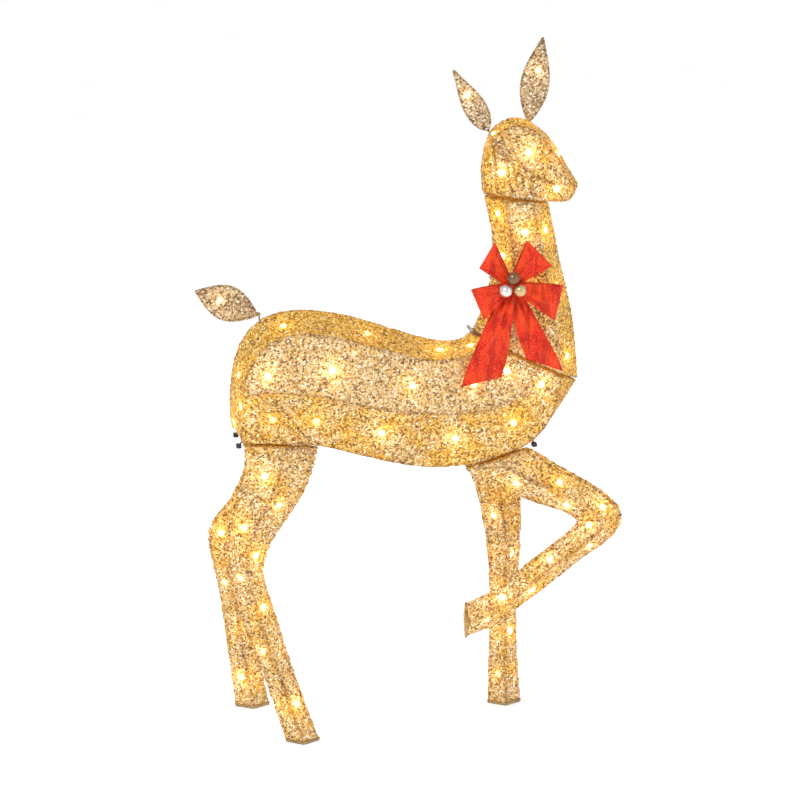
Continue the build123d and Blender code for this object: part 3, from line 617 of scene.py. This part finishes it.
def bow_loop(solid, knot, seed):
    """A ribbon loop: out from the knot along its front, round the fold and back behind."""
    upper, lower, y_front, y_back = end_corners(solid, knot)
    start = knot[[0, 2]]
    end = (upper + lower) / 2
    length = np.linalg.norm(end - start)
    u = np.linspace(0, 1, 46)
    swell = np.sin(np.pi * u)
    run = LOOP_START + (length - LOOP_START) * swell ** 0.85
    depth = (y_back - y_front) / 2
    y = (y_front + y_back) / 2 - depth * np.cos(np.pi * u) * (0.5 + 0.5 * swell ** 1.5)
    path = in_space(start + unit(end - start) * run[:, None], y)
    edge = (upper - lower) / 2
    widening = (swell ** 0.8)[:, None]
    arms = in_space(unit(edge) * GATHERED_HALF * (1 - widening) + edge * widening, 0)
    normals = unit(np.cross(np.gradient(path, axis=0), arms))
    pleats = 3.2 * MM * (1 - swell) + 1.6 * MM * np.sin(2 * np.pi * u) ** 2
    return ribbon(path, arms, normals, pleats, seed)


def bow_tail(solid, knot, seed):
    """A hanging ribbon end, cut on a slant."""
    upper, lower, y_front, y_back = end_corners(solid, knot)
    u = np.linspace(0, 1, 60)
    start = knot[[0, 2]]
    end = (upper + lower) / 2
    ripple = 3 * MM * np.sin(u * np.pi * 2.2 + seed) ** 2
    y = (knot[1] + 2 * MM) * (1 - u) + (y_front + y_back) / 2 * u - ripple
    path = in_space(start + (end - start) * u[:, None], y)
    edge = (upper - lower) / 2
    if edge[0] < 0:
        edge = -edge
    direction = unit(end - start)
    gathered = np.array([-direction[1], direction[0]])
    gathered *= TAIL_GATHERED_HALF * (1 if gathered @ edge > 0 else -1)
    widening = np.clip(u * 1.25, 0, 1)[:, None] ** 0.8
    arms = in_space(gathered * (1 - widening) + edge * widening, 0)
    normals = unit(np.cross(np.gradient(path, axis=0), arms))
    normals *= np.where(normals[:, 1:2] > 0, -1, 1)
    pleats = 2.8 * MM * (1 - u) ** 1.5 + 1.8 * MM
    return ribbon(path, arms, normals, pleats, seed)


def bow_wrap(low, high):
    """The gathered band around the middle of the bow."""
    middle, half = (low + high) / 2, (high - low) / 2
    rows, sides = 20, 48
    verts = []
    for i in range(rows + 1):
        lift = -1 + 2 * i / rows
        swell = (1 - abs(lift) ** 4) ** 0.25 * 0.35 + 0.65
        for k in range(sides):
            turn = 2 * math.pi * k / sides
            grooves = 1 + 0.05 * math.cos(lift * 9) + 0.02 * math.sin(turn * 5)
            c, s = math.cos(turn), math.sin(turn)
            x = math.copysign(abs(c) ** 0.6, c) * half[0] * swell * grooves
            y = math.copysign(abs(s) ** 0.6, s) * half[1] * swell * grooves
            verts.append(middle + np.array([x, y, lift * half[2]]))
    faces = []
    for i in range(rows):
        for k in range(sides):
            m = (k + 1) % sides
            faces.append((i * sides + k, i * sides + m, (i + 1) * sides + m, (i + 1) * sides + k))
    faces += [tuple(reversed(range(sides))), tuple(rows * sides + k for k in range(sides))]
    return np.array(verts), faces


def make_bow(material):
    low, high = (np.array(corner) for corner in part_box("bow_centre_wrap"))
    knot = (low + high) / 2
    makers = {"bow_upper_loops": bow_loop, "bow_lower_loops": bow_loop, "bow_tails": bow_tail}
    for node, maker in makers.items():
        parts = []
        for number, solid in enumerate(solids(node)):
            parts += maker(solid, knot, number * 1.7)
        mesh = mesh_of(node, *joined(parts))
        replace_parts(add_object(f"{node}_ribbon", mesh, "neck", material), node)
    mesh = mesh_of("wrap", *bow_wrap(low, high))
    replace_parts(add_object("bow_wrap_ribbon", mesh, "neck", material), "bow_centre_wrap")


def make_bauble(colour, material):
    """A glass ball with a crimped cap on the side of its wire."""
    node = f"{colour}_bauble"
    points = corners(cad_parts[node].data)
    low, high = points.min(0), points.max(0)
    radius = (high[2] - low[2]) / 2
    centre = np.array([(low[0] + high[0]) / 2, low[1] + radius, (low[2] + high[2]) / 2])
    sides = 48
    # The ball's outline and the cap's, as (radius, height) from the ball's middle
    profile = [(radius * math.sin(a), -radius * math.cos(a)) for a in np.linspace(0.02, 2.72, 34)]
    cap = [(5.4, 11.0), (5.8, 11.4), (5.6, 13.2), (4.4, 14.2), (2.2, 14.6), (2.0, 17.5), (0.1, 17.6)]
    crimped = range(len(profile), len(profile) + 3)
    profile += [(r * MM, h * MM) for r, h in cap]
    verts = []
    for row, (r, h) in enumerate(profile):
        for k in range(sides):
            turn = 2 * math.pi * k / sides
            crimp = 1 + 0.06 * math.cos(turn * 12) * (row in crimped)
            verts.append(centre + np.array([r * crimp * math.cos(turn), h, r * crimp * math.sin(turn)]))
    faces = []
    for i in range(len(profile) - 1):
        for k in range(sides):
            m = (k + 1) % sides
            faces.append((i * sides + k, (i + 1) * sides + k, (i + 1) * sides + m, i * sides + m))
    mesh = mesh_of(node, verts, faces)
    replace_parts(add_object(f"{colour}_ball", mesh, "neck", material), node)


# ------------------------------------------------------------------ materials

class Graph:
    """A material's node tree, with short ways to add and join nodes."""

    def __init__(self, name):
        self.material = bpy.data.materials.new(name)
        self.material.use_nodes = True
        self.nodes = self.material.node_tree.nodes
        self.links = self.material.node_tree.links
        self.shader = self.nodes["Principled BSDF"]
        self.place = self.node("TexCoord").outputs["Object"]

    def put(self, socket, value):
        if isinstance(value, bpy.types.NodeSocket):
            self.links.new(value, socket)
        else:
            socket.default_value = value

    def node(self, kind, settings=None, **inputs):
        made = self.nodes.new("ShaderNode" + kind)
        for key, value in (settings or {}).items():
            setattr(made, key, value)
        for key, value in inputs.items():
            self.put(made.inputs[key.replace("_", " ")], value)
        return made

    def math(self, operation, *values):
        made = self.nodes.new("ShaderNodeMath")
        made.operation = operation
        for socket, value in zip(made.inputs, values):
            self.put(socket, value)
        return made.outputs[0]

    def attribute(self, name, output="Fac"):
        return self.node("Attribute", {"attribute_name": name}).outputs[output]

    def noise(self, scale, detail=3.0, roughness=0.6):
        made = self.node("TexNoise", Vector=self.place, Scale=scale, Detail=detail, Roughness=roughness)
        return made.outputs[0]

    def span(self, value, low, high, start=0.0, end=1.0):
        """The value's place between low and high, as a smooth share from start to end."""
        made = self.node("MapRange", {"interpolation_type": "SMOOTHSTEP"}, Value=value)
        for name, number in (("From Min", low), ("From Max", high), ("To Min", start), ("To Max", end)):
            made.inputs[name].default_value = number
        return made.outputs[0]

    def ramp(self, value, stops):
        made = self.node("ValToRGB", Fac=value)
        elements = made.color_ramp.elements
        while len(elements) < len(stops):
            elements.new(0.5)
        for element, (position, colour) in zip(elements, stops):
            element.position = position
            element.color = (*colour, 1)
        return made.outputs[0]

    def mix(self, share, a, b, blend="MIX"):
        made = self.nodes.new("ShaderNodeMix")
        made.data_type = "RGBA"
        made.blend_type = blend
        for index, value in ((0, share), (6, a), (7, b)):
            self.put(made.inputs[index], (*value, 1) if isinstance(value, tuple) else value)
        return made.outputs[2]

    def bump(self, height, distance, strength=1.0, normal=None):
        made = self.node("Bump", Height=height, Distance=distance, Strength=strength)
        if normal is not None:
            self.links.new(normal, made.inputs["Normal"])
        return made.outputs[0]

    def finish(self, **inputs):
        for key, value in inputs.items():
            value = (*value, 1) if isinstance(value, tuple) else value
            self.put(self.shader.inputs[key.replace("_", " ")], value)
        return self.material


def thread_material(name, pale, rich, halo):
    """Glitter thread: flecks of many tones with painted glints among them, sparkling, lit from behind by
    its lamps.
    """
    g = Graph(name)
    cells = g.node("TexVoronoi", Vector=g.place, Scale=330.0)
    fleck = g.node("SeparateColor", Color=cells.outputs["Color"])
    # The brightest stops of these ramps are painted glints.
    pale_flecks = g.ramp(fleck.outputs[0], pale)
    rich_flecks = g.ramp(fleck.outputs[0], rich)
    patch = g.span(g.noise(22.0, 3.0), 0.35, 0.65, -0.3, 0.35)
    # On the torso the tone attribute also carries painted light and shade: paler upper sides, darker lower
    # sides.
    tone = g.span(g.math("ADD", g.attribute("tone"), patch), 0.0, 1.0)
    colour = g.mix(tone, pale_flecks, rich_flecks)
    wire = g.span(g.attribute("wire_gap"), 0.0008, 0.0036, 0.6, 0.0)
    wire = g.math("MULTIPLY", wire, g.span(g.noise(30.0), 0.3, 0.6, 0.35, 1.0))
    colour = g.mix(wire, colour, (0.36, 0.20, 0.09), "MULTIPLY")
    offset = g.attribute("lamp_offset", "Vector")
    way = g.node("VectorMath", {"operation": "LENGTH"}, Vector=offset).outputs["Value"]
    core = g.span(way, 0.0025, 0.0095, 1.0, 0.0)
    glow = g.math("EXPONENT", g.math("MULTIPLY", way, -1 / 0.015))
    lit = g.mix(1.0, colour, halo, "MULTIPLY")
    glare = g.mix(core, lit, (1.0, 0.86, 0.52))
    power = g.attribute("lamp_power")
    strength = g.math("ADD", g.math("MULTIPLY", core, 1.5), g.math("MULTIPLY", glow, 1.9))
    # Besides the lamps' glow, the whole cover gets a faint painted glow of 0.10.
    strength = g.math("ADD", g.math("MULTIPLY", strength, power), 0.10)
    tilt = g.node("VectorMath", {"operation": "MULTIPLY_ADD"})
    g.put(tilt.inputs[0], cells.outputs["Color"])
    tilt.inputs[1].default_value = (0.7, 0.7, 0.7)
    g.put(tilt.inputs[2], g.node("NewGeometry").outputs["Normal"])
    centred = g.node("VectorMath", {"operation": "SUBTRACT"})
    g.put(centred.inputs[0], tilt.outputs[0])
    centred.inputs[1].default_value = (0.35, 0.35, 0.35)
    normal = g.node("VectorMath", {"operation": "NORMALIZE"})
    g.put(normal.inputs[0], centred.outputs[0])
    grain = g.math("ADD", g.noise(900.0, 2.0), cells.outputs["Distance"])
    return g.finish(
        Base_Color=colour, Metallic=0.35, Roughness=g.span(fleck.outputs[1], 0.0, 1.0, 0.28, 0.6),
        Emission_Color=glare, Emission_Strength=strength,
        Normal=g.bump(grain, 0.0007, 0.7, normal.outputs[0]),
    )


def metal_material(name, colour, dark, roughness, scale=120.0):
    """Painted or plated metal with worn and dull patches."""
    g = Graph(name)
    wear = g.noise(scale, 5.0)
    tone = g.mix(g.span(wear, 0.35, 0.7), colour, dark)
    rough = g.span(wear, 0.3, 0.7, roughness, roughness + 0.25)
    pits = g.bump(g.noise(scale * 6), 0.0002, 0.4)
    return g.finish(Base_Color=tone, Metallic=0.9, Roughness=rough, Normal=pits)


def plastic_material(name, colour, lighter, roughness, grain=700.0):
    """Moulded plastic or rubber with a fine grain."""
    g = Graph(name)
    tone = g.mix(g.span(g.noise(60.0, 4.0), 0.35, 0.7), colour, lighter)
    return g.finish(Base_Color=tone, Roughness=roughness, Normal=g.bump(g.noise(grain, 2.0), 0.00015, 0.5))


def lens_material():
    """Clear lens over a lit warm white chip."""
    g = Graph("lamp_lens")
    facing = g.node("LayerWeight", Blend=0.35).outputs["Facing"]
    glow = g.mix(facing, (1.0, 0.90, 0.62), (1.0, 0.62, 0.22))
    haze = g.span(g.noise(900.0), 0.3, 0.7, 3.0, 5.0)
    colour = (0.95, 0.88, 0.7)
    return g.finish(Base_Color=colour, Roughness=0.15, Emission_Color=glow, Emission_Strength=haze)


def ribbon_material():
    """Red glitter ribbon with a fine weave, painted orange highlights, painted shade in dark streaks that
    run down along its folds, and a faint painted glow.
    """
    g = Graph("red_ribbon")
    cells = g.node("TexVoronoi", Vector=g.place, Scale=900.0)
    fleck = g.node("SeparateColor", Color=cells.outputs["Color"])
    flecks = g.ramp(fleck.outputs[0], RIBBON_RED)
    # Painted highlights: broad patches of brighter orange red over the flecks.
    broad = g.mix(g.span(g.noise(24.0, 2.0), 0.38, 0.66, 0.0, 0.6), flecks, (0.95, 0.085, 0.010))
    # Painted shade: dark red streaks that run down the ribbon stand in for the shade in its folds.
    drawn_out = g.node("Mapping", Vector=g.place, Scale=(1.0, 1.0, 0.22)).outputs[0]
    fold_shade_streaks = g.node("TexNoise", Vector=drawn_out, Scale=85.0, Detail=1.0).outputs[0]
    broad = g.mix(g.span(fold_shade_streaks, 0.36, 0.52, 0.42, 0.0), broad, (0.20, 0.001, 0.001))
    weave = g.math("ADD", g.noise(1400.0, 1.0), cells.outputs["Distance"])
    # The ribbon gets a faint painted glow of its own painted colours.
    return g.finish(
        Base_Color=broad, Roughness=g.span(fleck.outputs[1], 0.0, 1.0, 0.32, 0.65),
        Specular_IOR_Level=0.25, Emission_Color=broad, Emission_Strength=0.04,
        Normal=g.bump(weave, 0.0003, 0.6),
    )


def ball_material(name, colour, dark):
    """Lacquered glass ball with faint streaks in its plating."""
    g = Graph(name)
    streak = g.node("TexNoise", Vector=g.place, Scale=150.0, Detail=4.0, Distortion=1.5).outputs[0]
    tone = g.mix(g.span(streak, 0.4, 0.7, 0.0, 0.5), colour, dark)
    return g.finish(
        Base_Color=tone, Metallic=0.85, Roughness=g.span(streak, 0.3, 0.7, 0.18, 0.32),
        Coat_Weight=0.6, Normal=g.bump(g.noise(500.0), 0.00005, 0.3),
    )


# ------------------------------------------------------------------ hooves

def hoof_ring(leg, axis, material):
    """The bare end ring of a leg's frame, around the end of its cover."""
    skin = outer_skin(f"{leg}_cover")
    points = np.array([tuple(v.co) for v in skin.verts])
    skin.free()
    points = points[points[:, 2] < points[:, 2].mean()]
    points = points[points[:, axis] < points[:, axis].min() + 1.5 * MM]
    flat = [i for i in range(3) if i != axis]
    spread = points[:, flat] - middle_of(points)[flat]
    tips = [points[np.argmax(spread @ np.array(way))] for way in ((1, 0), (0, 1), (-1, 0), (0, -1))]
    path = []
    for a, b in zip(tips, tips[1:] + tips[:1]):
        path += [a + (b - a) * share for share in (0.04, 0.25, 0.5, 0.75, 0.96)]
    path = np.array(path)
    path[:, axis] += HOOF_WIRE_R
    outward = unit(path - path.mean(0))
    tube = tube_mesh(path + outward * HOOF_WIRE_OUT, outward, HOOF_WIRE_R, 10)
    ring = mesh_of(f"{leg}_hoof_ring", *tube)
    add_object(ring.name, ring, leg, material)


# ------------------------------------------------------------------ the whole figure

def dress_cad(bronze):
    """Materials of the CAD parts that are shown as they are."""
    steel = metal_material("zinc_steel", (0.46, 0.41, 0.33), (0.26, 0.22, 0.17), 0.35)
    cord = plastic_material("cord", (0.20, 0.13, 0.05), (0.32, 0.22, 0.09), 0.5)
    black = plastic_material("black_plastic", (0.012, 0.012, 0.013), (0.04, 0.04, 0.042), 0.45)
    rubber = plastic_material("pad_rubber", (0.02, 0.02, 0.02), (0.05, 0.05, 0.05), 0.8, 400.0)
    lens = lens_material()
    endings = [
        ("_frame", bronze, "frame_wire"),
        ("tail_bracket", bronze, "frame_wire"),
        ("ear_sockets", bronze, "frame_wire"),
        ("bow_tie_wire", bronze, "frame_wire"),
        ("_light_string", cord, "cord"),
        ("supply_lead", cord, "cord"),
        ("_lamps", lens, "lamp_lens"),
        ("_lamp", lens, "lamp_lens"),
        ("_foot_plate", steel, "zinc_steel"),
        ("hinge_leaf", steel, "zinc_steel"),
        ("_pin", steel, "zinc_steel"),
        ("leg_clips", black, "black_plastic"),
        ("supply_plug", black, "black_plastic"),
        ("neck_rest_pads", rubber, "pad_rubber"),
    ]
    for name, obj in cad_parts.items():
        for ending, material, slot in endings:
            if name.endswith(ending):
                obj.data.materials.clear()
                obj.data.materials.append(material)


def light(name, location, size, power):
    """A soft white area light that looks at the middle of the figure."""
    lamp = bpy.data.lights.new(name, "AREA")
    lamp.size = size
    lamp.energy = power
    obj = bpy.data.objects.new(name, lamp)
    bpy.context.scene.collection.objects.link(obj)
    obj.location = location
    way = Vector((0, 0, FIGURE_MIDDLE_Z)) - Vector(location)
    obj.rotation_euler = way.to_track_quat("-Z", "Y").to_euler()


def floor_material():
    g = Graph("floor")
    tone = g.mix(g.span(g.noise(3.0), 0.3, 0.7), (0.90, 0.90, 0.90), (0.94, 0.94, 0.94))
    return g.finish(
        Base_Color=tone, Roughness=0.8, Specular_IOR_Level=0.1,
        Emission_Color=(1.0, 1.0, 1.0), Emission_Strength=FLOOR_GLOW,
    )


def make_stage():
    """Pale floor, white surroundings and soft lights."""
    rim = [(x * FLOOR_HALF, y * FLOOR_HALF, 0) for x, y in ((-1, -1), (1, -1), (1, 1), (-1, 1))]
    floor = bpy.data.objects.new("floor", mesh_of("floor", rim, [(0, 1, 2, 3)]))
    floor.data.materials.append(floor_material())
    bpy.context.scene.collection.objects.link(floor)
    world = bpy.data.worlds.new("world")
    bpy.context.scene.world = world
    world.use_nodes = True
    background = world.node_tree.nodes["Background"]
    background.inputs["Color"].default_value = (1, 1, 1, 1)
    background.inputs["Strength"].default_value = WORLD_LIGHT
    light("key", (-1.6, -2.6, 3.2), 1.4, 48)
    light("fill", (2.8, -2.2, 1.6), 2.5, 12)
    light("back", (0.5, 3.0, 2.6), 2.5, 18)


def aim_camera():
    """The photograph's point of view."""
    across = math.sin(CAMERA_AZIMUTH) * math.cos(CAMERA_ELEVATION)
    away = math.cos(CAMERA_AZIMUTH) * math.cos(CAMERA_ELEVATION)
    back = Vector((across, -away, math.sin(CAMERA_ELEVATION)))
    camera = bpy.data.objects.new("camera", bpy.data.cameras.new("camera"))
    bpy.context.scene.collection.objects.link(camera)
    camera.location = Vector(CAMERA_TARGET) + back * CAMERA_DISTANCE
    camera.rotation_euler = (-back).to_track_quat("-Z", "Y").to_euler()
    camera.data.lens = CAMERA_LENS
    camera.data.sensor_width = 36
    bpy.context.scene.camera = camera


gold = thread_material("gold_thread", PALE_GOLD, RICH_GOLD, (1.0, 0.74, 0.34))
grey = thread_material("pale_thread", GREY_GOLD, PALE_GOLD, (1.0, 0.78, 0.45))
for section in SECTIONS:
    thread_cover(*section, gold)
for name in LEAVES:
    leaf(name, grey)
make_bow(ribbon_material())
make_bauble("silver", ball_material("silver_ball", (0.80, 0.78, 0.76), (0.50, 0.48, 0.46)))
make_bauble("gold", ball_material("gold_ball", (0.72, 0.50, 0.24), (0.42, 0.26, 0.10)))
make_bauble("bronze", ball_material("bronze_ball", (0.26, 0.13, 0.065), (0.11, 0.05, 0.025)))
bronze = metal_material("frame_wire", (0.55, 0.36, 0.15), (0.30, 0.18, 0.07), 0.35)
for leg, axis in HOOF_AXES.items():
    hoof_ring(leg, axis, bronze)
dress_cad(bronze)
make_stage()
aim_camera()
bpy.context.scene.view_settings.view_transform = "Standard"
